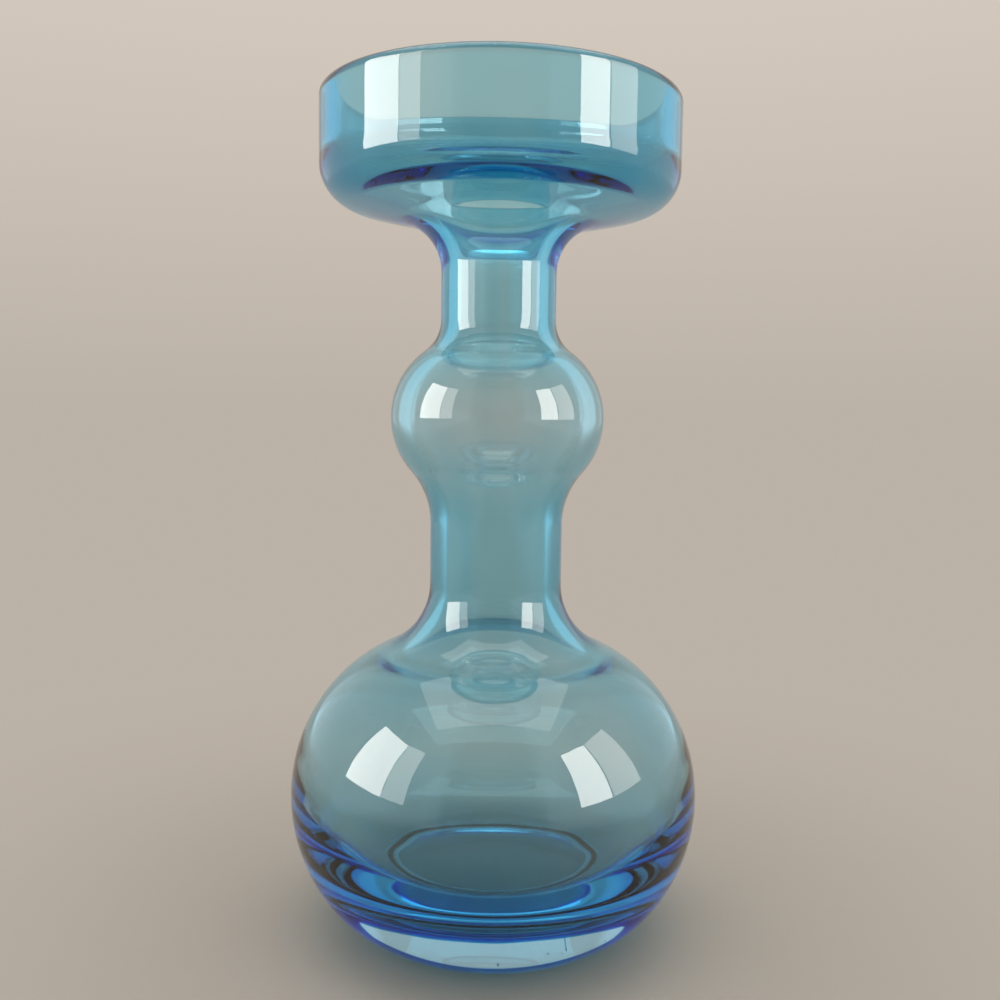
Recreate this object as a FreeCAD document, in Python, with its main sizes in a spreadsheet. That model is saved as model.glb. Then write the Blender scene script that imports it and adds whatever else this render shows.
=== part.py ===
import FreeCAD, Part
import math
import os
from types import SimpleNamespace
import Sketcher

# Hyacinth forcing vase in cased glass: a thick colourless casing blown over a thin blue lining.
# Both layers are turned about the Z axis. The origin is the middle of the foot, on the table.
# Going up, each surface is one chain of tangent arcs and lines: heel, belly, shoulder, lower neck,
# bulb, upper neck, flare, underside of the cup, corner of the cup and its wall.

# Driving dimensions, in millimetres and degrees.
SIZES = {
    # Outside of the glass, from the table up.
    "foot_ring_width": 2.6,
    "foot_hollow": 1.2,
    "heel_height": 10.0,
    "heel_inset": 12.8,
    "belly_lower_sweep": 36.0,
    "belly_lower_curve": 39.3,
    "belly_radius": 50.0,
    "belly_upper_curve": 39.3,
    "shoulder_curve": 17.0,
    "lower_neck_radius": 16.2,
    "lower_neck_length": 14.6,
    "bulb_lower_curve": 19.0,
    "bulb_radius": 25.9,
    "bulb_curve": 19.8,
    "bulb_upper_curve": 9.3,
    "upper_neck_radius": 13.9,
    "upper_neck_length": 11.3,
    "underside_width": 6.9,
    "cup_slope": 13.0,
    "cup_corner": 9.5,
    "cup_radius": 42.8,
    "cup_height": 26.5,
    # Thickness of the whole wall, both layers together, and the form of the hollow inside.
    "base_wall": 14.3,
    "cavity_heel_height": 2.9,
    "cavity_lower_sweep": 60.0,
    "cavity_rise": 2.9,
    "cavity_tuck": 6.3,
    "belly_wall": 3.0,
    "neck_wall": 3.9,
    "bulb_wall": 4.6,
    "cup_floor_wall": 5.9,
    "cup_inner_corner": 7.5,
    "cup_wall": 4.0,
    # The blue layer alone, thinnest where the glass was blown out most.
    "lining_base": 0.8,
    "lining_belly": 0.5,
    "lining_neck": 0.7,
    "lining_bulb": 0.35,
    "lining_cup": 1.1,
}

FULL_TURN = 360.0
HALF_TURN = 180.0
QUARTER_TURN = 90.0
# Names of the points of a sketch edge, and of the sketch's own axes and origin.
START, END, CENTRE = range(1, 4)
ORIGIN = (-1, 1)
FLAT_AXIS, TURNING_AXIS = -1, -2


class Size:
    """A length or an angle, known as a number and as the expression that drives it in a sketch."""

    def __init__(self, value, text):
        self.value = value
        self.text = text

    def combined(self, sign, other, value):
        return Size(value, "(%s %s %s)" % (self.text, sign, other.text))

    def __add__(self, other):
        return self.combined("+", other, self.value + other.value)

    def __sub__(self, other):
        return self.combined("-", other, self.value - other.value)

    def __mul__(self, other):
        return self.combined("*", other, self.value * other.value)

    def __truediv__(self, other):
        return self.combined("/", other, self.value / other.value)


def sine(angle):
    return Size(math.sin(math.radians(angle.value)), "sin(%s)" % angle.text)


def cosine(angle):
    return Size(math.cos(math.radians(angle.value)), "cos(%s)" % angle.text)


def other_side(longest, side):
    """The third side of a right triangle, from its longest side and one other."""
    value = math.sqrt(longest.value**2 - side.value**2)
    return Size(value, "sqrt(%s ^ 2 - %s ^ 2)" % (longest.text, side.text))


ONE = Size(1.0, "1")
TWO = Size(2.0, "2")


def make_sheet(document):
    """Writes the driving dimensions into a spreadsheet, one named cell each."""
    sheet = document.addObject("Spreadsheet::Sheet", "Sizes")
    for row, (alias, value) in enumerate(SIZES.items(), start=1):
        sheet.set("A%d" % row, alias)
        sheet.set("B%d" % row, str(value))
        sheet.setAlias("B%d" % row, alias)
    document.recompute()
    return sheet


def read_sizes(sheet):
    return SimpleNamespace(**{alias: Size(float(sheet.get(alias)), "Sizes." + alias) for alias in SIZES})


def outside_surface(s):
    """The outside: it meets the table at the foot, and every height follows from the curves below it."""
    o = SimpleNamespace()
    o.lower_curve = s.belly_lower_curve
    o.heel_height = s.heel_height
    o.belly_height = s.heel_height + s.belly_lower_curve * sine(s.belly_lower_sweep)
    o.belly_radius = s.belly_radius
    o.heel_radius = s.belly_radius - s.belly_lower_curve * (ONE - cosine(s.belly_lower_sweep))
    o.foot_radius = o.heel_radius - s.heel_inset
    o.upper_curve = s.belly_upper_curve
    o.shoulder_curve = s.shoulder_curve
    o.lower_neck = s.lower_neck_radius
    o.bulb_lower_curve = s.bulb_lower_curve
    o.bulb_radius = s.bulb_radius
    o.bulb_curve = s.bulb_curve
    o.bulb_upper_curve = s.bulb_upper_curve
    o.upper_neck = s.upper_neck_radius
    o.flare_curve = s.cup_radius - s.cup_corner - s.underside_width - s.upper_neck_radius
    o.cup_corner = s.cup_corner
    o.cup_radius = s.cup_radius
    shoulder_top = o.belly_height + other_side(
        o.upper_curve + o.shoulder_curve,
        o.lower_neck + o.shoulder_curve - o.belly_radius + o.upper_curve,
    )
    o.bulb_height = shoulder_top + s.lower_neck_length + other_side(
        o.bulb_curve + o.bulb_lower_curve,
        o.lower_neck + o.bulb_lower_curve - o.bulb_radius + o.bulb_curve,
    )
    flare_height = o.bulb_height + s.upper_neck_length + other_side(
        o.bulb_curve + o.bulb_upper_curve,
        o.upper_neck + o.bulb_upper_curve - o.bulb_radius + o.bulb_curve,
    )
    rise = s.underside_width * sine(s.cup_slope) + o.flare_curve + o.cup_corner
    o.corner_height = flare_height + rise / cosine(s.cup_slope)
    o.rim_height = o.corner_height - o.cup_corner + s.cup_height
    return o


def cavity_surface(s, outside):
    """The inside of the vase: the outside moved in by the walls, with a heavy rounded bottom."""
    c = SimpleNamespace()
    c.floor = s.base_wall
    c.belly_height = outside.belly_height + s.cavity_rise
    c.heel_height = s.base_wall + s.cavity_heel_height
    c.lower_curve = (c.belly_height - c.heel_height) / sine(s.cavity_lower_sweep)
    c.belly_radius = s.belly_radius - s.belly_wall
    c.upper_curve = s.belly_upper_curve - s.belly_wall - s.cavity_tuck
    c.shoulder_curve = s.shoulder_curve + s.neck_wall
    c.lower_neck = s.lower_neck_radius - s.neck_wall
    c.bulb_lower_curve = s.bulb_lower_curve + s.neck_wall
    c.bulb_height = outside.bulb_height
    c.bulb_radius = s.bulb_radius - s.bulb_wall
    c.bulb_curve = s.bulb_curve * c.bulb_radius / s.bulb_radius
    c.bulb_upper_curve = s.bulb_upper_curve + s.neck_wall
    c.upper_neck = s.upper_neck_radius - s.neck_wall
    c.flare_curve = outside.flare_curve + s.neck_wall
    c.cup_corner = s.cup_inner_corner
    c.cup_radius = s.cup_radius - s.cup_wall
    # The floor of the cup keeps its thickness, square to the sloping underside.
    inward = s.cup_corner - s.cup_wall - s.cup_inner_corner
    upward = s.cup_floor_wall + s.cup_inner_corner - s.cup_corner
    step = (inward * sine(s.cup_slope) + upward) / cosine(s.cup_slope)
    c.corner_height = outside.corner_height + step
    c.rim_height = outside.rim_height
    return c


def seam_surface(s, cavity):
    """Where the casing is fused to the lining: the cavity moved out by the lining's thickness."""
    m = SimpleNamespace()
    growth = (s.lining_base + s.lining_belly) / TWO
    m.floor = cavity.floor - s.lining_base
    m.belly_height = cavity.belly_height - (s.lining_base - s.lining_belly) / TWO
    m.lower_curve = cavity.lower_curve + growth
    m.heel_height = m.belly_height - m.lower_curve * sine(s.cavity_lower_sweep)
    m.belly_radius = cavity.belly_radius + s.lining_belly
    m.upper_curve = cavity.upper_curve + growth
    m.shoulder_curve = cavity.shoulder_curve - s.lining_neck
    m.lower_neck = cavity.lower_neck + s.lining_neck
    m.bulb_lower_curve = cavity.bulb_lower_curve - s.lining_neck
    m.bulb_height = cavity.bulb_height
    m.bulb_radius = cavity.bulb_radius + s.lining_bulb
    m.bulb_curve = cavity.bulb_curve + s.lining_bulb
    m.bulb_upper_curve = cavity.bulb_upper_curve - s.lining_neck
    m.upper_neck = cavity.upper_neck + s.lining_neck
    m.flare_curve = cavity.flare_curve - s.lining_neck
    m.cup_corner = cavity.cup_corner + s.lining_cup
    m.cup_radius = cavity.cup_radius + s.lining_cup
    m.corner_height = cavity.corner_height
    m.rim_height = cavity.rim_height
    return m


class Outline:
    """A closed outline in the XZ plane: edges first drawn where they belong, then held by sizes."""

    def __init__(self, body, name):
        self.sketch = body.newObject("Sketcher::SketchObject", name)
        plane = [part for part in body.Origin.OriginFeatures if part.Role == "XZ_Plane"][0]
        self.sketch.AttachmentSupport = [(plane, "")]
        self.sketch.MapMode = "FlatFace"
        self.edges = []
        self.rules = []
        self.sized = []

    def line(self, first, last):
        """Adds a straight edge and gives back its number and the points where it starts and ends."""
        self.edges.append(Part.LineSegment(FreeCAD.Vector(*first, 0), FreeCAD.Vector(*last, 0)))
        return SimpleNamespace(edge=len(self.edges) - 1, first=START, last=END)

    def arc(self, centre, radius, first_angle, last_angle):
        """Adds a round edge. Sketch arcs turn anticlockwise, so a clockwise one is drawn backwards."""
        low, high = sorted((math.radians(first_angle), math.radians(last_angle)))
        circle = Part.Circle(FreeCAD.Vector(*centre, 0), FreeCAD.Vector(0, 0, 1), radius)
        self.edges.append(Part.ArcOfCircle(circle, low, high))
        ends = (START, END) if first_angle < last_angle else (END, START)
        return SimpleNamespace(edge=len(self.edges) - 1, first=ends[0], last=ends[1])

    def rule(self, kind, *places):
        self.rules.append(Sketcher.Constraint(kind, *places))

    def size(self, kind, *places, size):
        """Holds a length or an angle of the outline to a size of the vase."""
        number = math.radians(size.value) if kind == "Angle" else size.value
        self.sized.append((len(self.rules), size.text))
        self.rules.append(Sketcher.Constraint(kind, *places, number))

    def smooth(self, *run):
        """Joins edges end to end, each tangent to the next."""
        for before, after in zip(run, run[1:]):
            self.rule("Tangent", before.edge, before.last, after.edge, after.first)

    def meet(self, edge, point, other_edge, other_point):
        self.rule("Coincident", edge, point, other_edge, other_point)

    def finish(self):
        self.sketch.addGeometry(self.edges, False)
        self.sketch.addConstraint(self.rules)
        for number, text in self.sized:
            self.sketch.setExpression("Constraints[%d]" % number, text)
        return self.sketch


def draw_surface(outline, surface, slope):
    """Draws one turned surface, from the top of the heel up to the wall of the cup."""
    belly_z = surface.belly_height.value
    lower_x = surface.belly_radius.value - surface.lower_curve.value
    upper_x = surface.belly_radius.value - surface.upper_curve.value
    bulb_offset = surface.bulb_radius - surface.bulb_curve
    bulb_x = bulb_offset.value
    bulb_z = surface.bulb_height.value

    def hollow_arc(curve, neck, swelling_x, swelling_z, swelling_curve, upward):
        """Centre of a hollow curve that touches a neck and a swelling, and the angle between them."""
        across = neck.value + curve.value - swelling_x
        along = math.sqrt((swelling_curve.value + curve.value) ** 2 - across**2) * upward
        return (neck.value + curve.value, swelling_z + along), math.degrees(math.atan2(along, across))

    shoulder, shoulder_angle = hollow_arc(
        surface.shoulder_curve, surface.lower_neck, upper_x, belly_z, surface.upper_curve, 1
    )
    under, under_angle = hollow_arc(
        surface.bulb_lower_curve, surface.lower_neck, bulb_x, bulb_z, surface.bulb_curve, -1
    )
    over, over_angle = hollow_arc(
        surface.bulb_upper_curve, surface.upper_neck, bulb_x, bulb_z, surface.bulb_curve, 1
    )
    corner = (surface.cup_radius.value - surface.cup_corner.value, surface.corner_height.value)
    lean = math.radians(slope.value)
    flare_x = surface.upper_neck.value + surface.flare_curve.value
    reach = surface.flare_curve.value + surface.cup_corner.value
    drop = ((corner[0] - flare_x) * math.sin(lean) + reach) / math.cos(lean)
    flare = (flare_x, corner[1] - drop)
    square = (math.sin(lean), -math.cos(lean))
    flare_end = [flare[i] - square[i] * surface.flare_curve.value for i in range(2)]
    corner_start = [corner[i] + square[i] * surface.cup_corner.value for i in range(2)]

    heel_sine = (belly_z - surface.heel_height.value) / surface.lower_curve.value
    heel_angle = -math.degrees(math.asin(heel_sine))
    edges = SimpleNamespace()
    edges.lower = outline.arc((lower_x, belly_z), surface.lower_curve.value, heel_angle, 0.0)
    edges.upper = outline.arc((upper_x, belly_z), surface.upper_curve.value, 0.0, shoulder_angle)
    edges.shoulder = outline.arc(
        shoulder, surface.shoulder_curve.value, shoulder_angle + HALF_TURN, HALF_TURN
    )
    edges.lower_neck = outline.line(
        (surface.lower_neck.value, shoulder[1]), (surface.lower_neck.value, under[1])
    )
    edges.under = outline.arc(
        under, surface.bulb_lower_curve.value, HALF_TURN, under_angle + HALF_TURN
    )
    edges.bulb = outline.arc((bulb_x, bulb_z), surface.bulb_curve.value, under_angle, over_angle)
    edges.over = outline.arc(over, surface.bulb_upper_curve.value, over_angle + HALF_TURN, HALF_TURN)
    edges.upper_neck = outline.line(
        (surface.upper_neck.value, over[1]), (surface.upper_neck.value, flare[1])
    )
    edges.flare = outline.arc(
        flare, surface.flare_curve.value, HALF_TURN, QUARTER_TURN + slope.value
    )
    edges.underside = outline.line(flare_end, corner_start)
    edges.corner = outline.arc(corner, surface.cup_corner.value, slope.value - QUARTER_TURN, 0.0)
    edges.wall = outline.line(
        (surface.cup_radius.value, corner[1]), (surface.cup_radius.value, surface.rim_height.value)
    )
    outline.smooth(
        edges.lower, edges.upper, edges.shoulder, edges.lower_neck, edges.under, edges.bulb,
        edges.over, edges.upper_neck, edges.flare, edges.underside, edges.corner, edges.wall,
    )

    for edge, curve in (
        (edges.lower, surface.lower_curve),
        (edges.upper, surface.upper_curve),
        (edges.shoulder, surface.shoulder_curve),
        (edges.under, surface.bulb_lower_curve),
        (edges.bulb, surface.bulb_curve),
        (edges.over, surface.bulb_upper_curve),
        (edges.flare, surface.flare_curve),
        (edges.corner, surface.cup_corner),
    ):
        outline.size("Radius", edge.edge, size=curve)
    for edge, radius in (
        (edges.lower_neck, surface.lower_neck),
        (edges.upper_neck, surface.upper_neck),
        (edges.wall, surface.cup_radius),
    ):
        outline.rule("Vertical", edge.edge)
        outline.size("DistanceX", *ORIGIN, edge.edge, START, size=radius)
    outline.size("Angle", edges.underside.edge, size=slope)
    outline.size("DistanceX", *ORIGIN, edges.lower.edge, END, size=surface.belly_radius)
    outline.size("DistanceX", *ORIGIN, edges.bulb.edge, CENTRE, size=bulb_offset)
    outline.size("DistanceY", *ORIGIN, edges.lower.edge, START, size=surface.heel_height)
    outline.size("DistanceY", *ORIGIN, edges.lower.edge, END, size=surface.belly_height)
    for edge, height in (
        (edges.lower, surface.belly_height),
        (edges.bulb, surface.bulb_height),
        (edges.corner, surface.corner_height),
    ):
        outline.size("DistanceY", *ORIGIN, edge.edge, CENTRE, size=height)
    return edges


def draw_floor(outline, surface, edges):
    """Closes a surface below with a flat floor and a heel tangent to the floor and the belly."""
    sink = (surface.belly_height.value - surface.heel_height.value) / surface.lower_curve.value
    curve = (surface.heel_height.value - surface.floor.value) / (1.0 - sink)
    reach = (surface.lower_curve.value - curve) * math.sqrt(1.0 - sink**2)
    centre_x = surface.belly_radius.value - surface.lower_curve.value + reach
    centre = (centre_x, surface.floor.value + curve)
    floor = outline.line((0.0, surface.floor.value), (centre_x, surface.floor.value))
    heel = outline.arc(centre, curve, -QUARTER_TURN, -math.degrees(math.asin(sink)))
    outline.smooth(floor, heel, edges.lower)
    outline.rule("Horizontal", floor.edge)
    outline.rule("PointOnObject", floor.edge, START, TURNING_AXIS)
    outline.size("DistanceY", *ORIGIN, floor.edge, START, size=surface.floor)
    return floor


def seam_on_lip(s, seam):
    """The angle around the middle of the round lip at which the seam comes out."""
    lip_curve = (s.cup_wall / TWO).value
    across = seam.cup_radius.value - (s.cup_radius.value - lip_curve)
    return math.degrees(math.acos(across / lip_curve))


def draw_lip(outline, s, surface, wall, first_angle, last_angle):
    """Draws a stretch of the round, fire-polished lip, as wide as the wall of the cup."""
    lip_curve = s.cup_wall / TWO
    middle = s.cup_radius - lip_curve
    height = surface.rim_height - lip_curve
    lip = outline.arc((middle.value, height.value), lip_curve.value, first_angle, last_angle)
    outline.size("Radius", lip.edge, size=lip_curve)
    outline.size("DistanceY", *ORIGIN, lip.edge, CENTRE, size=height)
    outline.rule("Tangent", wall.edge, wall.last, lip.edge, START if first_angle < last_angle else END)
    return lip


def turn(body, sketch, name):
    """Turns an outline once round the Z axis."""
    solid = body.newObject("PartDesign::Revolution", name)
    solid.Profile = sketch
    solid.ReferenceAxis = (sketch, ["V_Axis"])
    solid.Angle = FULL_TURN
    sketch.Visibility = False
    return solid


def make_casing(document, s, outside, seam):
    """The colourless casing: foot with a hollow under it, the whole outside, and the outer lip."""
    body = document.addObject("PartDesign::Body", "clear_casing")
    outline = Outline(body, "casing_outline")
    outer = draw_surface(outline, outside, s.cup_slope)
    inner = draw_surface(outline, seam, s.cup_slope)
    floor = draw_floor(outline, seam, inner)

    foot = (outside.foot_radius.value, 0.0)
    start = (outside.heel_radius.value - foot[0], outside.heel_height.value)
    sweep = math.radians(s.belly_lower_sweep.value)
    square = (math.cos(sweep), -math.sin(sweep))
    heel_curve = (start[0] ** 2 + start[1] ** 2) / 2 / (start[0] * square[0] + start[1] * square[1])
    centre = [foot[i] + start[i] - heel_curve * square[i] for i in range(2)]
    foot_angle = math.degrees(math.atan2(-centre[1], foot[0] - centre[0]))
    heel = outline.arc(centre, heel_curve, foot_angle, -s.belly_lower_sweep.value)
    outline.smooth(heel, outer.lower)
    ring_inside = outside.foot_radius - s.foot_ring_width
    ring = outline.line((ring_inside.value, 0.0), foot)
    outline.meet(ring.edge, END, heel.edge, START)
    outline.rule("PointOnObject", ring.edge, START, FLAT_AXIS)
    outline.rule("Horizontal", ring.edge)
    outline.size("DistanceX", *ORIGIN, ring.edge, START, size=ring_inside)
    outline.size("DistanceX", *ORIGIN, ring.edge, END, size=outside.foot_radius)

    hollow_curve = (ring_inside.value**2 + s.foot_hollow.value**2) / 2 / s.foot_hollow.value
    hollow_z = s.foot_hollow.value - hollow_curve
    edge_angle = math.degrees(math.atan2(-hollow_z, ring_inside.value))
    hollow = outline.arc((0.0, hollow_z), hollow_curve, edge_angle, QUARTER_TURN)
    outline.meet(hollow.edge, START, ring.edge, START)
    outline.rule("PointOnObject", hollow.edge, CENTRE, TURNING_AXIS)
    outline.rule("PointOnObject", hollow.edge, END, TURNING_AXIS)
    outline.size("DistanceY", *ORIGIN, hollow.edge, END, size=s.foot_hollow)
    axis = outline.line((0.0, s.foot_hollow.value), (0.0, seam.floor.value))
    outline.meet(axis.edge, START, hollow.edge, END)
    outline.meet(axis.edge, END, floor.edge, START)

    lip = draw_lip(outline, s, outside, outer.wall, 0.0, seam_on_lip(s, seam))
    outline.meet(lip.edge, END, inner.wall.edge, END)
    turn(body, outline.finish(), "casing_turned")
    return body


def make_lining(document, s, seam, cavity):
    """The blue lining: a skin fused to the inside of the casing, from the base up over the lip."""
    body = document.addObject("PartDesign::Body", "blue_lining")
    outline = Outline(body, "lining_outline")
    outer = draw_surface(outline, seam, s.cup_slope)
    inner = draw_surface(outline, cavity, s.cup_slope)
    outer_floor = draw_floor(outline, seam, outer)
    inner_floor = draw_floor(outline, cavity, inner)
    axis = outline.line((0.0, seam.floor.value), (0.0, cavity.floor.value))
    outline.meet(axis.edge, START, outer_floor.edge, START)
    outline.meet(axis.edge, END, inner_floor.edge, START)
    lip = draw_lip(outline, s, cavity, inner.wall, HALF_TURN, seam_on_lip(s, seam))
    outline.meet(lip.edge, START, outer.wall.edge, END)
    turn(body, outline.finish(), "lining_turned")
    return body


document = FreeCAD.newDocument("HyacinthVase")
sizes = read_sizes(make_sheet(document))
outside = outside_surface(sizes)
cavity = cavity_surface(sizes, outside)
seam = seam_surface(sizes, cavity)
bodies = [make_casing(document, sizes, outside, seam), make_lining(document, sizes, seam, cavity)]
document.recompute()

for item in document.Objects:
    if "Invalid" in item.State or "Error" in item.State:
        raise RuntimeError("%s failed: %s" % (item.Label, item.State))
for body in bodies:
    if body.Shape.isNull() or not body.Shape.isValid() or len(body.Shape.Solids) != 1:
        raise RuntimeError("%s isn't one valid solid" % body.Label)

os.makedirs("parts", exist_ok=True)
for body in bodies:
    body.Shape.exportStep("parts/%s.step" % body.Label)
    box = body.Shape.BoundBox
    print("%s: volume %.0f mm3, z %.2f to %.2f mm" % (body.Label, body.Shape.Volume, box.ZMin, box.ZMax))
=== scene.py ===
import math
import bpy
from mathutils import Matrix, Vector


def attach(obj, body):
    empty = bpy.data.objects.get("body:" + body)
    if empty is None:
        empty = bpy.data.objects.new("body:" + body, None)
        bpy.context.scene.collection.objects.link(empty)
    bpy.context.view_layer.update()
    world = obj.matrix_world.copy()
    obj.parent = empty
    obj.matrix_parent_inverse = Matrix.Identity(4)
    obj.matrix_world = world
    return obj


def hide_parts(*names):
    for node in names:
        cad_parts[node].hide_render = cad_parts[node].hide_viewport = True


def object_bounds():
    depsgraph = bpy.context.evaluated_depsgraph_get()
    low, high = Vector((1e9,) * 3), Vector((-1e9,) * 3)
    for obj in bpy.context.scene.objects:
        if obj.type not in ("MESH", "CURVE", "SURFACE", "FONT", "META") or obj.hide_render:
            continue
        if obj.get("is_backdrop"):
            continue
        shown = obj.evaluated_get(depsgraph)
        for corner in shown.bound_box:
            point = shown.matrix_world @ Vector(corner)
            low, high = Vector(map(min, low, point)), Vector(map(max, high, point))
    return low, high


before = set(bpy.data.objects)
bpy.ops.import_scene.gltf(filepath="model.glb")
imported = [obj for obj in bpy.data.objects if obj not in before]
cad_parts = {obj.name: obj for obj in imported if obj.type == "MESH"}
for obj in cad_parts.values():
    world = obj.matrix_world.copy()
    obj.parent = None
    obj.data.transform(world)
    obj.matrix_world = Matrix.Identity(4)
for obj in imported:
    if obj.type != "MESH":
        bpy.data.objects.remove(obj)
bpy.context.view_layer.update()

from types import SimpleNamespace

import bpy
import numpy as np
from mathutils import Matrix

# The blue lining. The first gather of glass is blue, and the whole hollow of the vase is blown in it.
# It is a skin of a millimetre or less, thinnest where the bubble swelled most, fused to the clear glass
# round it. At the mouth it comes up over the inner half of the fire-polished lip.
MM = 0.001
TURN_STEPS = 192
ARC_STEP = 2.4
LINE_STEP = 1.6
SAME_POINT = 0.0016
cavity = SimpleNamespace(
    heel_height=17.2,
    belly_height=36.0,
    belly_radius=47.0,
    lower_curve=21.71,
    upper_curve=30.0,
    shoulder_curve=20.9,
    lower_neck=12.3,
    bulb_lower_curve=22.9,
    bulb_height=124.97,
    bulb_radius=21.3,
    bulb_curve=16.28,
    bulb_upper_curve=13.2,
    upper_neck=10.0,
    flare_curve=16.4,
    cup_corner=7.5,
    cup_radius=38.8,
    corner_height=187.52,
)
CAVITY_FLOOR = 14.3
CUP_SLOPE = 13.0
LIP_CURVE = 2.0
LIP_MIDDLE = (40.8, 198.98)
LINING_HEIGHTS = (14.3, 36.0, 84.0, 100.0, 125.0, 148.0, 158.0, 186.0, 201.0)
LINING_WALLS = (0.8, 0.42, 0.7, 0.7, 0.3, 0.7, 0.7, 1.1, 1.1)
STREAK = 0.11
STREAK_WAVES = ((1.0, 3, 1.3, 1), (0.6, 7, 0.4, -2), (0.4, 13, 2.2, 1))
STREAK_TWIST = 60.0
LIP_RISE = (0.3, 0.6, 0.85, 0.97)
LIP_STEPS = 25
OVAL = 0.05
OVAL_TWIST = 40.0
OVAL_FROM = 20.0
CUP_LEAN = 0.012
LEAN_RADIUS = 42.8
LEAN_HEIGHTS = (150.0, 186.0)
RIPPLE = 0.03
RIPPLE_PITCH = 7.0
RIPPLE_HEIGHTS = (26.0, 56.0)
GLASS_IOR = 1.52
GROUND_ROUGHNESS = 0.45
GROUND_WHITENESS = 0.6
CORDS = (35.0, 3.0, 0.6)
CORD_RANGE = (0.3, 0.7)
SKIN_RIPPLES = (60.0, 2.0, 0.0)
RIPPLE_STRENGTH = 0.12
RIPPLE_DEPTH = 0.1
DUST = (90.0, 6.0, 0.0)
DUST_RANGE = (0.55, 0.85)
STRONGEST_SHARE = 0.98
BLUE_ABSORPTION = (0.76, 0.175, 0.042)
BLUE_TINTS = (0.955, 0.965, 0.965), (0.975, 0.972, 0.968)
BLUE_HAZE = 0.03


def arc(centre, radius, first, last):
    """Points of a round stretch: centre + radius * (cos a, sin a), where a goes evenly from first to last degrees."""
    count = max(3, math.ceil(abs(last - first) / ARC_STEP) + 1)
    a = np.radians(np.linspace(first, last, count))
    return np.stack([centre[0] + radius * np.cos(a), centre[1] + radius * np.sin(a)], axis=1)


def straight(first, last):
    """Points of a straight stretch: first + s * (last - first), where s goes evenly from 0 to 1."""
    count = max(2, math.ceil(math.dist(first, last) / LINE_STEP) + 1)
    return np.linspace(first, last, count)


def joined(*stretches):
    """Stretches end to end, with each point that two of them share kept once."""
    points = np.concatenate(stretches)
    steps = np.hypot(*np.diff(points, axis=0).T)
    return points[np.r_[True, steps > SAME_POINT]]


def swelling_profile(s, top):
    """The profile from the heel up to the wall of the cup, as tangent arcs and lines.

    A hollow arc of radius c that touches a neck of radius n and a swelling arc of radius b centred at (x, z) has its
    centre at (n + c, z +- sqrt((b + c)^2 - (n + c - x)^2)).
    """

    def hollow(curve, neck, x, z, swelling, up):
        across = neck + curve - x
        along = up * math.sqrt((swelling + curve) ** 2 - across**2)
        return (neck + curve, z + along), math.degrees(math.atan2(along, across))

    lower = (s.belly_radius - s.lower_curve, s.belly_height)
    upper = (s.belly_radius - s.upper_curve, s.belly_height)
    bulb = (s.bulb_radius - s.bulb_curve, s.bulb_height)
    shoulder, shoulder_angle = hollow(s.shoulder_curve, s.lower_neck, *upper, s.upper_curve, 1)
    under, under_angle = hollow(s.bulb_lower_curve, s.lower_neck, *bulb, s.bulb_curve, -1)
    over, over_angle = hollow(s.bulb_upper_curve, s.upper_neck, *bulb, s.bulb_curve, 1)
    lean = math.radians(CUP_SLOPE)
    corner = (s.cup_radius - s.cup_corner, s.corner_height)
    flare_x = s.upper_neck + s.flare_curve
    drop = (corner[0] - flare_x) * math.sin(lean) + s.flare_curve + s.cup_corner
    flare = (flare_x, corner[1] - drop / math.cos(lean))
    heel_angle = -math.degrees(math.asin((s.belly_height - s.heel_height) / s.lower_curve))
    flare_arc = arc(flare, s.flare_curve, 180, 90 + CUP_SLOPE)
    corner_arc = arc(corner, s.cup_corner, CUP_SLOPE - 90, 0)
    return joined(
        arc(lower, s.lower_curve, heel_angle, 0),
        arc(upper, s.upper_curve, 0, shoulder_angle),
        arc(shoulder, s.shoulder_curve, shoulder_angle + 180, 180),
        straight((s.lower_neck, shoulder[1]), (s.lower_neck, under[1])),
        arc(under, s.bulb_lower_curve, 180, under_angle + 180),
        arc(bulb, s.bulb_curve, under_angle, over_angle),
        arc(over, s.bulb_upper_curve, over_angle + 180, 180),
        straight((s.upper_neck, over[1]), (s.upper_neck, flare[1])),
        flare_arc,
        straight(flare_arc[-1], corner_arc[0]),
        corner_arc,
        straight((s.cup_radius, s.corner_height), (s.cup_radius, top)),
    )


def cavity_profile():
    """The flat floor and a heel arc that touches both the floor and the lower belly, then the rest.

    Between RIPPLE_HEIGHTS the radius loses RIPPLE * (1 + sin(2 pi z / RIPPLE_PITCH)) * sin^2(pi * share of the way
    up), the faint rings that the blowing leaves.
    """
    sink = (cavity.belly_height - cavity.heel_height) / cavity.lower_curve
    curve = (cavity.heel_height - CAVITY_FLOOR) / (1 - sink)
    reach = (cavity.lower_curve - curve) * math.sqrt(1 - sink**2)
    middle = (cavity.belly_radius - cavity.lower_curve + reach, CAVITY_FLOOR + curve)
    floor = straight((0.0, CAVITY_FLOOR), (middle[0], CAVITY_FLOOR))
    heel = arc(middle, curve, -90, -math.degrees(math.asin(sink)))
    points = joined(floor, heel, swelling_profile(cavity, LIP_MIDDLE[1]))
    low, high = RIPPLE_HEIGHTS
    share = np.clip((points[:, 1] - low) / (high - low), 0, 1)
    points[:, 0] -= RIPPLE * (1 + np.sin(2 * np.pi * points[:, 1] / RIPPLE_PITCH)) * np.sin(np.pi * share) ** 2
    return points


def rings_of(profile):
    """One row per profile point, the same in every direction: shape (points, TURN_STEPS, 2)."""
    return np.repeat(profile[:, None, :], TURN_STEPS, axis=1)


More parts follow.
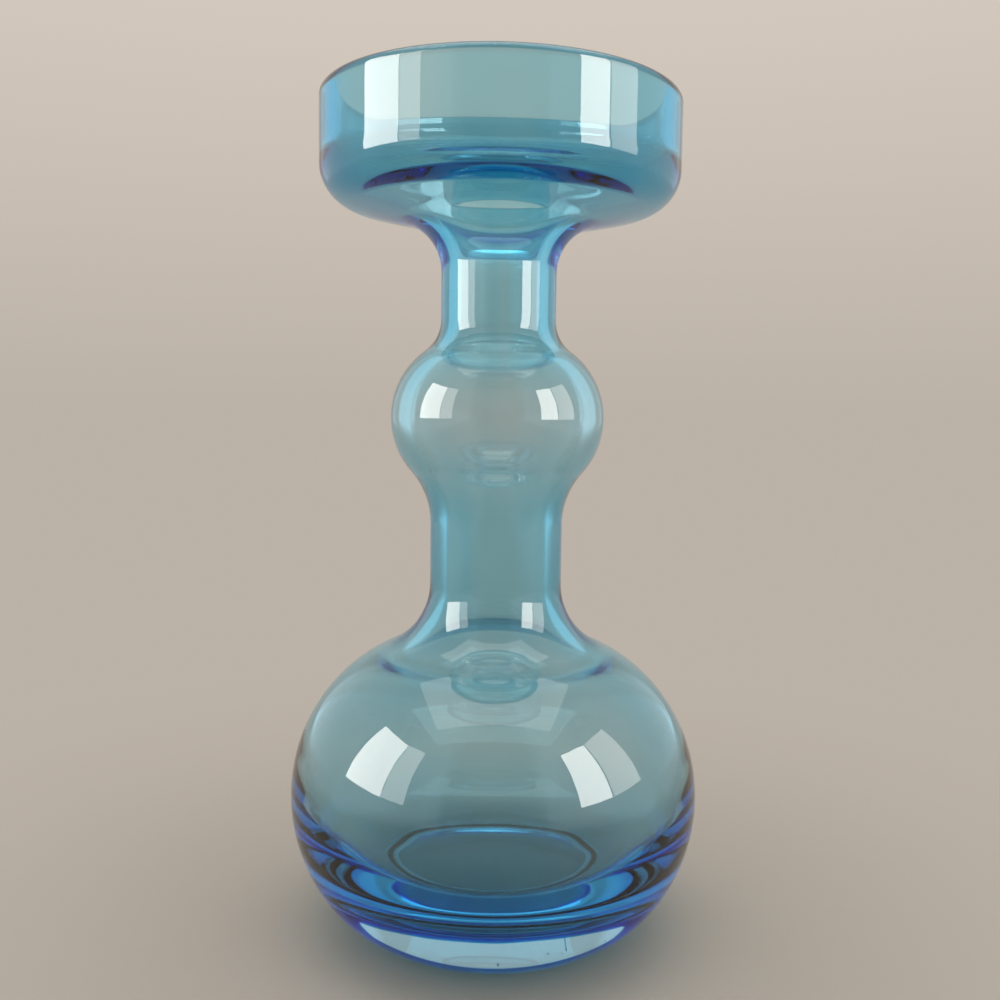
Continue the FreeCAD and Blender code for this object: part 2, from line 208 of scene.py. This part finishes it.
def seam_rings(profile, gap):
    """The seam: each cavity point moved square to the profile into the glass, by the lining's wall and a gap.

    The wall follows LINING_WALLS by height, eased with (1 - cos) / 2, times 1 + STREAK * the sum over STREAK_WAVES of
    strength * sin(waves * t + start + turns * z / STREAK_TWIST), where t is the direction. Above the straight wall,
    the seam goes on up by shares of LIP_RISE until it meets the round lip.
    """
    t = np.linspace(0, 2 * np.pi, TURN_STEPS, endpoint=False)
    place = np.interp(profile[:, 1], LINING_HEIGHTS, np.arange(len(LINING_HEIGHTS)))
    low = np.minimum(place.astype(int), len(LINING_WALLS) - 2)
    ease = (1 - np.cos(np.pi * (place - low))) / 2
    walls = np.array(LINING_WALLS)
    wall = walls[low] + (walls[low + 1] - walls[low]) * ease
    twist = profile[:, 1:] / STREAK_TWIST
    streak = sum(
        strength * np.sin(waves * t + start + turns * twist) for strength, waves, start, turns in STREAK_WAVES
    )
    wall = wall[:, None] * (1 + STREAK * streak)
    along = np.gradient(profile, axis=0)
    along /= np.hypot(*along.T)[:, None]
    square = np.stack([along[:, 1], -along[:, 0]], axis=1)
    rings = rings_of(profile) + square[:, None, :] * (wall + gap)[..., None]
    last = rings[-1]
    top = LIP_MIDDLE[1] + np.sqrt(LIP_CURVE**2 - (last[:, 0] - LIP_MIDDLE[0]) ** 2)
    rise = np.array(LIP_RISE)[:, None] * (top - last[:, 1])
    above = np.stack([np.broadcast_to(last[:, 0], rise.shape), last[:, 1] + rise], axis=2)
    return np.concatenate([rings, above])


def lip_rings(seam, first, last):
    """The round lip: LIP_MIDDLE + LIP_CURVE * (cos a, sin a), where a goes evenly from first to last degrees.

    An angle of None is where the seam comes out.
    """
    seam_angle = np.degrees(np.arccos((seam[-1, :, 0] - LIP_MIDDLE[0]) / LIP_CURVE))
    first = seam_angle if first is None else np.full(TURN_STEPS, float(first))
    last = seam_angle if last is None else np.full(TURN_STEPS, float(last))
    a = np.radians(first + np.linspace(0, 1, LIP_STEPS)[:, None] * (last - first))
    return np.stack([LIP_MIDDLE[0] + LIP_CURVE * np.cos(a), LIP_MIDDLE[1] + LIP_CURVE * np.sin(a)], axis=2)


def by_hand(points):
    """Moves points as a vase worked by hand departs from true, the same for all that is in one place.

    The radius loses OVAL * (1 + sin(2 t + z / OVAL_TWIST)), and less within OVAL_FROM of the axis. The cup's height
    falls by CUP_LEAN * (x + LEAN_RADIUS), from nothing at the first of LEAN_HEIGHTS to all of it at the second, eased
    with 3 s^2 - 2 s^3.
    """
    x, y, z = points.T
    t = np.arctan2(y, x)
    radius = np.hypot(x, y)
    thinner = OVAL * (1 + np.sin(2 * t + z / OVAL_TWIST)) * np.minimum(radius / OVAL_FROM, 1)
    s = np.clip((z - LEAN_HEIGHTS[0]) / (LEAN_HEIGHTS[1] - LEAN_HEIGHTS[0]), 0, 1)
    fall = CUP_LEAN * (x + LEAN_RADIUS) * (3 * s**2 - 2 * s**3)
    scale = 1 - thinner / np.maximum(radius, 1)
    return np.stack([x * scale, y * scale, z - fall], axis=1)


def turned_skin(name, rings, bonded, ground, bubbles=None):
    """A closed skin: point = (radius cos t, radius sin t, height), with one point on the axis at each end.

    bonded has one number per ring, 1 where the ring lies on the seam between the two layers of glass. ground has 1
    where the ring was ground flat. Bubbles are more points and faces of the same glass.
    """
    t = np.linspace(0, 2 * np.pi, TURN_STEPS, endpoint=False)
    middle = rings[1:-1]
    around = np.stack([middle[..., 0] * np.cos(t), middle[..., 0] * np.sin(t), middle[..., 1]], axis=2)
    poles = np.array([[0, 0, rings[0, 0, 1]], [0, 0, rings[-1, 0, 1]]])
    points = np.concatenate([around.reshape(-1, 3), poles])
    count = len(middle)
    first = np.arange(count * TURN_STEPS).reshape(count, TURN_STEPS)
    after = np.roll(first, -1, axis=1)
    quads = np.stack([first[:-1], after[:-1], after[1:], first[1:]], axis=2).reshape(-1, 4)
    start, end = count * TURN_STEPS, count * TURN_STEPS + 1
    bottom = np.stack([np.full(TURN_STEPS, start), after[0], first[0]], axis=1)
    top = np.stack([first[-1], after[-1], np.full(TURN_STEPS, end)], axis=1)
    faces = quads.tolist() + bottom.tolist() + top.tolist()
    if bubbles is not None:
        faces += [[corner + len(points) for corner in face] for face in bubbles[1]]
        points = np.concatenate([points, bubbles[0]])
    mesh = bpy.data.meshes.new(name)
    mesh.from_pydata((by_hand(points) * MM).tolist(), [], faces)
    mesh.shade_smooth()
    for label, share in (("bond", bonded), ("ground", ground)):
        weights = np.zeros(len(points), dtype=np.float32)
        weights[:start] = np.repeat(share[1:-1], TURN_STEPS)
        weights[start:end + 1] = share[0], share[-1]
        mesh.attributes.new(label, "FLOAT", "POINT").data.foreach_set("value", weights)
    piece = bpy.data.objects.new(name, mesh)
    bpy.context.scene.collection.objects.link(piece)
    return piece


def feed(tree, value, socket):
    """Sets a socket to a plain number, or links another node's socket to it."""
    if isinstance(value, (int, float)):
        socket.default_value = value
    else:
        tree.links.new(value, socket)


def number(tree, operation, *values):
    """The result of a maths node, such as values[0] * values[1] + values[2] for MULTIPLY_ADD."""
    made = tree.nodes.new("ShaderNodeMath")
    made.operation = operation
    for value, socket in zip(values, made.inputs):
        feed(tree, value, socket)
    return made.outputs["Value"]


def mapped(tree, value, start, end, interpolation="LINEAR"):
    """A value that goes from start[0] to start[1], made to go from end[0] to end[1], and no further.

    It goes evenly, or for SMOOTHSTEP by 3 s^2 - 2 s^3, where s is its share of the way.
    """
    made = tree.nodes.new("ShaderNodeMapRange")
    made.interpolation_type = interpolation
    made.inputs["From Min"].default_value, made.inputs["From Max"].default_value = start
    made.inputs["To Min"].default_value, made.inputs["To Max"].default_value = end
    tree.links.new(value, made.inputs["Value"])
    return made.outputs["Result"]


def noise(tree, place, scale, detail, distortion):
    """Smooth cloudy noise from 0 to 1, with scale waves to a metre."""
    made = tree.nodes.new("ShaderNodeTexNoise")
    made.inputs["Scale"].default_value = scale
    made.inputs["Detail"].default_value = detail
    made.inputs["Distortion"].default_value = distortion
    tree.links.new(place, made.inputs["Vector"])
    return made.outputs["Fac"]


def carried_number(tree, name):
    """The number that a point of the mesh carries under a name."""
    made = tree.nodes.new("ShaderNodeAttribute")
    made.attribute_name = name
    return made.outputs["Fac"]


def glass(name, absorption, tints, haze):
    """Blown glass: light is lost inside it at absorption, per millimetre, and its skin is faintly rippled and dusty.

    Where a ring lies on the seam, the other layer of glass begins, so light goes straight on. The roughness is
    GROUND_ROUGHNESS where the foot is ground, plus the haze where there is dust.
    """
    material = bpy.data.materials.new(name)
    material.use_nodes = True
    tree = material.node_tree
    skin = tree.nodes["Principled BSDF"]
    place = tree.nodes.new("ShaderNodeTexCoord").outputs["Object"]
    feed(tree, mapped(tree, carried_number(tree, "bond"), (0, 1), (GLASS_IOR, 1.0)), skin.inputs["IOR"])

    colours = tree.nodes.new("ShaderNodeValToRGB")
    for stop, position, tint in zip(colours.color_ramp.elements, CORD_RANGE, tints):
        stop.position = position
        stop.color = (*tint, 1)
    tree.links.new(noise(tree, place, *CORDS), colours.inputs["Fac"])
    tree.links.new(colours.outputs["Color"], skin.inputs["Base Color"])

    bump = tree.nodes.new("ShaderNodeBump")
    bump.inputs["Strength"].default_value = RIPPLE_STRENGTH
    bump.inputs["Distance"].default_value = RIPPLE_DEPTH * MM
    tree.links.new(noise(tree, place, *SKIN_RIPPLES), bump.inputs["Height"])
    tree.links.new(bump.outputs["Normal"], skin.inputs["Normal"])

    ground = carried_number(tree, "ground")
    dust = mapped(tree, noise(tree, place, *DUST), DUST_RANGE, (0, haze))
    rough = number(tree, "MULTIPLY_ADD", ground, GROUND_ROUGHNESS, dust)
    clear = number(tree, "MULTIPLY_ADD", ground, -GROUND_WHITENESS, 1.0)
    tree.links.new(rough, skin.inputs["Roughness"])
    tree.links.new(clear, skin.inputs["Transmission Weight"])

    density = max(absorption) / MM / STRONGEST_SHARE
    inside = tree.nodes.new("ShaderNodeVolumeAbsorption")
    inside.inputs["Density"].default_value = density
    inside.inputs["Color"].default_value = (*[1 - a / MM / density for a in absorption], 1)
    tree.links.new(inside.outputs["Volume"], tree.nodes["Material Output"].inputs["Volume"])
    return material


hollow = cavity_profile()
lining_seam = seam_rings(hollow, 0.0)
lining_lip = lip_rings(lining_seam, None, 180.0)
lining_rings = np.concatenate([lining_seam, lining_lip, rings_of(hollow)[-2::-1]])
lining_bond = np.r_[np.ones(len(lining_seam)), np.zeros(len(lining_rings) - len(lining_seam))]
lining = turned_skin("lining", lining_rings, lining_bond, np.zeros(len(lining_rings)))
lining.data.materials.append(glass("blue glass", BLUE_ABSORPTION, BLUE_TINTS, BLUE_HAZE))
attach(lining, "root")
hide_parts("blue_lining")

# The clear casing. Colourless glass is gathered over the blue bubble, so it makes the whole outside, most of
# the wall and the heavy base. The foot is a ground ring round a shallow hollow, and the lip is fire polished.
# A few seeds, small bubbles of air, stay caught in the thick glass low down.
outside = SimpleNamespace(
    heel_height=10.0,
    belly_height=33.1,
    belly_radius=50.0,
    lower_curve=39.3,
    upper_curve=39.3,
    shoulder_curve=17.0,
    lower_neck=16.2,
    bulb_lower_curve=19.0,
    bulb_height=124.97,
    bulb_radius=25.9,
    bulb_curve=19.8,
    bulb_upper_curve=9.3,
    upper_neck=13.9,
    flare_curve=12.5,
    cup_corner=9.5,
    cup_radius=42.8,
    corner_height=183.98,
)
FOOT_RADIUS = 29.69
FOOT_RING = 2.6
FOOT_HOLLOW = 1.2
FOOT_BEVEL = 0.25
FOOT_BEVEL_RISE = 0.03
UNDER_STEPS = 24
GROUND_HEIGHT = 0.3
GROUND_RADIUS = 25.0
SEAM_GAP = 0.02
SEEDS = 22
SEED_SPREAD = (4.0, 34.0)
SEED_HEIGHTS = (4.0, 11.0)
SEED_RADII = (0.08, 0.18)
SEED_STRETCH = 0.4
SEED_HEIGHT_WAVE = 2.7
SEED_WIDTH_WAVE = (5.1, 0.6)
SEED_STRETCH_WAVE = 1.9
SEED_SIDES = 14
SEED_RINGS = 7
CLEAR_ABSORPTION = (0.011, 0.0045, 0.0018)
CLEAR_TINTS = (0.945, 0.928, 0.93), (0.97, 0.953, 0.95)
CLEAR_HAZE = 0.04


def outside_profile():
    """The hollow under the foot, the ring it stands on, the heel and the rest of the outside.

    The heel is the arc through the edge of the foot that touches the belly's lower arc at the heel's height.
    """
    sink = (outside.belly_height - outside.heel_height) / outside.lower_curve
    square = (math.sqrt(1 - sink**2), -sink)
    heel_x = outside.belly_radius - outside.lower_curve * (1 - square[0])
    across, up = heel_x - FOOT_RADIUS, outside.heel_height
    curve = (across**2 + up**2) / 2 / (across * square[0] + up * square[1])
    middle = (heel_x - curve * square[0], outside.heel_height - curve * square[1])
    first = math.degrees(math.atan2(-middle[1], FOOT_RADIUS - middle[0]))
    heel = arc(middle, curve, first, -math.degrees(math.asin(sink)))
    inner = FOOT_RADIUS - FOOT_RING
    deep = (inner**2 + FOOT_HOLLOW**2) / 2 / FOOT_HOLLOW
    rim = math.degrees(math.asin(inner / deep))
    hollow_under = arc((0.0, FOOT_HOLLOW - deep), deep, 90, 90 - rim)
    under = np.linspace(hollow_under[0], hollow_under[-1], UNDER_STEPS)
    under[:, 1] = FOOT_HOLLOW - deep + np.sqrt(deep**2 - under[:, 0] ** 2)
    ring = np.array([
        (inner - FOOT_BEVEL, under[-1, 1] + FOOT_BEVEL_RISE),
        (inner + FOOT_BEVEL, 0.0),
        (FOOT_RADIUS - FOOT_RING / 2, 0.0),
        (FOOT_RADIUS - FOOT_BEVEL, 0.0),
    ])
    return joined(under[:-1], ring, heel[1:], swelling_profile(outside, LIP_MIDDLE[1]))


def between(span, share):
    """The number a share of the way along a span: span[0] + share * (span[1] - span[0])."""
    return span[0] + (span[1] - span[0]) * share


def seeds():
    """Small ellipsoid bubbles: centre + (w cos p cos q, w cos p sin q, h sin p), with faces towards the middle.

    The centres wind out over SEED_SPREAD by the golden angle. Their heights, widths and stretch follow sines of the
    seed's number, so they look scattered.
    """
    across, up = SEED_SIDES, SEED_RINGS
    q = np.linspace(0, 2 * np.pi, across, endpoint=False)
    p = np.linspace(-np.pi / 2, np.pi / 2, up + 2)[1:-1]
    level = np.stack([np.outer(np.cos(p), np.cos(q)), np.outer(np.cos(p), np.sin(q))], axis=2)
    upright = np.broadcast_to(np.sin(p)[:, None, None], (up, across, 1))
    ball = np.concatenate([np.concatenate([level, upright], axis=2).reshape(-1, 3), [[0, 0, -1], [0, 0, 1]]])
    low, high = across * up, across * up + 1
    faces = []
    for j in range(across):
        k = (j + 1) % across
        faces += [[i * across + j, (i + 1) * across + j, (i + 1) * across + k, i * across + k] for i in range(up - 1)]
        faces += [[low, j, k], [high, (up - 1) * across + k, (up - 1) * across + j]]
    points, all_faces = [], []
    for seed in range(SEEDS):
        turn = seed * math.pi * (3 - math.sqrt(5))
        radius = between(SEED_SPREAD, math.sqrt((seed + 0.5) / SEEDS))
        height = between(SEED_HEIGHTS, abs(math.sin(SEED_HEIGHT_WAVE * seed)))
        centre = (radius * math.cos(turn), radius * math.sin(turn), height)
        wide = between(SEED_RADII, abs(math.sin(SEED_WIDTH_WAVE[0] * seed + SEED_WIDTH_WAVE[1])))
        tall = wide * (1.0 + SEED_STRETCH * math.sin(SEED_STRETCH_WAVE * seed))
        all_faces += [[corner + len(ball) * seed for corner in face] for face in faces]
        points.append(ball * (wide, wide, tall) + centre)
    return np.concatenate(points), all_faces


casing_seam = seam_rings(hollow, SEAM_GAP)
casing_lip = lip_rings(casing_seam, 0.0, None)
shell = rings_of(outside_profile())
casing_rings = np.concatenate([shell, casing_lip[1:], casing_seam[::-1]])
casing_bond = np.r_[np.zeros(len(casing_rings) - len(casing_seam)), np.ones(len(casing_seam))]
casing_ground = ((casing_rings[:, 0, 1] < GROUND_HEIGHT) & (casing_rings[:, 0, 0] > GROUND_RADIUS)).astype(float)
casing = turned_skin("casing", casing_rings, casing_bond, casing_ground, seeds())
casing.data.materials.append(glass("clear glass", CLEAR_ABSORPTION, CLEAR_TINTS, CLEAR_HAZE))
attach(casing, "root")
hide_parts("clear_casing")

# The studio: a plain pale floor that fades into a plain warm grey behind the vase and in front of it, and into
# paler walls at both sides, which light the thick edges of the glass. Tall soft lamps stand at the sides for the
# highlights, and a soft lamp above gives the shadow.
BACKDROP = (0.50, 0.445, 0.39)
SIDE_WALLS = (0.90, 0.885, 0.86)
SIDE_SLOPE = 0.47
SIDE_BLEND = (0.13, 0.63)
FLOOR_COLOUR = (0.40, 0.36, 0.32)
FLOOR_ROUGHNESS = 0.7
FLOOR_RADIUS = 5.0
FLOOR_SIDES = 96
FLOOR_FADE = (0.065, 0.26)
BRIGHTER_ABOVE = 0.9
BRIGHTNESS_RANGE = (1.0, 1.35)
LAMP_DISTANCE = 0.50
SIDE_LAMPS = (
    ("left bright lamp", -74.0, 0.30, 0.23, 0.36, 11.0),
    ("left dim lamp", -53.7, 0.30, 0.12, 0.36, 4.0),
    ("right bright lamp", 55.7, 0.30, 0.17, 0.36, 11.0),
    ("right dim lamp", 76.5, 0.30, 0.18, 0.36, 4.0),
)
TOP_LAMP = (0.80, 0.80, 0.60, 1.6)
LAMP_COLOUR = (1.0, 0.97, 0.92)


def surroundings(tree, place, brightness):
    """The colour of the surroundings at a place x across and y along from the vase, as nodes.

    The backdrop's colour times the brightness goes over to the side walls' colour by 3 t^2 - 2 t^3, where t runs from
    0 to 1 while |x| - SIDE_SLOPE * |y| runs over SIDE_BLEND.
    """
    parts = tree.nodes.new("ShaderNodeSeparateXYZ")
    tree.links.new(place, parts.inputs["Vector"])
    across = number(tree, "ABSOLUTE", parts.outputs["X"])
    along = number(tree, "ABSOLUTE", parts.outputs["Y"])
    to_the_side = number(tree, "MULTIPLY_ADD", along, -SIDE_SLOPE, across)
    backdrop = tree.nodes.new("ShaderNodeVectorMath")
    backdrop.operation = "SCALE"
    backdrop.inputs[0].default_value = BACKDROP
    feed(tree, brightness, backdrop.inputs["Scale"])
    mixed = tree.nodes.new("ShaderNodeMix")
    mixed.data_type = "RGBA"
    mixed.inputs["B"].default_value = (*SIDE_WALLS, 1)
    tree.links.new(mapped(tree, to_the_side, SIDE_BLEND, (0, 1), "SMOOTHSTEP"), mixed.inputs["Factor"])
    tree.links.new(backdrop.outputs["Vector"], mixed.inputs["A"])
    return mixed.outputs["Result"]


world = bpy.data.worlds.new("studio")
bpy.context.scene.world = world
world.use_nodes = True
tree = world.node_tree
direction = tree.nodes.new("ShaderNodeTexCoord").outputs["Generated"]
parts = tree.nodes.new("ShaderNodeSeparateXYZ")
tree.links.new(direction, parts.inputs["Vector"])
above = tree.nodes.new("ShaderNodeClamp")
above.inputs["Min"].default_value, above.inputs["Max"].default_value = BRIGHTNESS_RANGE
feed(tree, number(tree, "MULTIPLY_ADD", parts.outputs["Z"], BRIGHTER_ABOVE, 1.0), above.inputs["Value"])
far_place = tree.nodes.new("ShaderNodeVectorMath")
far_place.operation = "SCALE"
far_place.inputs["Scale"].default_value = FLOOR_RADIUS
tree.links.new(direction, far_place.inputs[0])
around = surroundings(tree, far_place.outputs["Vector"], above.outputs["Result"])
tree.links.new(around, tree.nodes["Background"].inputs["Color"])

q = np.linspace(0, 2 * np.pi, FLOOR_SIDES, endpoint=False)
rims = FLOOR_RADIUS * np.stack([np.cos(q), np.sin(q)], axis=1)
floor_mesh = bpy.data.meshes.new("floor")
floor_mesh.from_pydata([(x, y, 0.0) for x, y in rims], [], [tuple(range(len(rims)))])
floor = bpy.data.objects.new("floor", floor_mesh)
bpy.context.scene.collection.objects.link(floor)
floor_paint = bpy.data.materials.new("floor paint")
floor_paint.use_nodes = True
tree = floor_paint.node_tree
paint = tree.nodes["Principled BSDF"]
paint.inputs["Base Color"].default_value = (*FLOOR_COLOUR, 1)
paint.inputs["Roughness"].default_value = FLOOR_ROUGHNESS
place = tree.nodes.new("ShaderNodeTexCoord").outputs["Object"]
far = tree.nodes.new("ShaderNodeEmission")
tree.links.new(surroundings(tree, place, 1.0), far.inputs["Color"])
away = tree.nodes.new("ShaderNodeVectorMath")
away.operation = "LENGTH"
tree.links.new(place, away.inputs[0])
mix = tree.nodes.new("ShaderNodeMixShader")
tree.links.new(mapped(tree, away.outputs["Value"], FLOOR_FADE, (0, 1), "SMOOTHSTEP"), mix.inputs["Fac"])
tree.links.new(paint.outputs["BSDF"], mix.inputs[1])
tree.links.new(far.outputs["Emission"], mix.inputs[2])
tree.links.new(mix.outputs["Shader"], tree.nodes["Material Output"].inputs["Surface"])
floor_mesh.materials.append(floor_paint)
floor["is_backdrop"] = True


def lamp(name, where, turn, wide, high, radiance):
    """A flat oblong lamp that the camera doesn't see. Its power is radiance * pi * wide * high."""
    light = bpy.data.lights.new(name, "AREA")
    light.shape = "RECTANGLE"
    light.size = wide
    light.size_y = high
    light.energy = radiance * math.pi * wide * high
    light.color = LAMP_COLOUR
    made = bpy.data.objects.new(name, light)
    made.location = where
    made.rotation_euler = turn
    made.visible_camera = False
    bpy.context.scene.collection.objects.link(made)
    made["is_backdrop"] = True
    return made


for name, bearing, height, wide, high, radiance in SIDE_LAMPS:
    b = math.radians(bearing)
    where = (LAMP_DISTANCE * math.sin(b), -LAMP_DISTANCE * math.cos(b), height)
    side_lamp = lamp(name, where, (math.radians(90), 0, b), wide, high, radiance)
    side_lamp.visible_transmission = False
    side_lamp.visible_diffuse = False
height, wide, high, radiance = TOP_LAMP
lamp("top lamp", (0.0, 0.0, height), (0, 0, 0), wide, high, radiance)

# The camera stands where the photograph's did: a little above the middle of the vase, looking slightly down.
CAMERA_BACK = 0.263
CAMERA_HEIGHT = 0.1278
CAMERA_PITCH = 4.974
CAMERA_ROLL = 0.67
CAMERA_SENSOR = 36.0
CAMERA_LENS = 38.74
CAMERA_SHIFT = 0.0036
BOUNCES = 32
camera_data = bpy.data.cameras.new("camera")
camera_data.sensor_width = CAMERA_SENSOR
camera_data.lens = CAMERA_LENS
camera_data.shift_x = CAMERA_SHIFT
camera = bpy.data.objects.new("camera", camera_data)
camera.matrix_world = (
    Matrix.Translation((0, -CAMERA_BACK, CAMERA_HEIGHT))
    @ Matrix.Rotation(math.radians(90 - CAMERA_PITCH), 4, "X")
    @ Matrix.Rotation(math.radians(CAMERA_ROLL), 4, "Z")
)
bpy.context.scene.collection.objects.link(camera)
bpy.context.scene.camera = camera
bpy.context.scene.view_settings.view_transform = "Standard"
for bounces in ("max_bounces", "transmission_bounces", "glossy_bounces", "transparent_max_bounces"):
    setattr(bpy.context.scene.cycles, bounces, BOUNCES)

low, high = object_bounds()
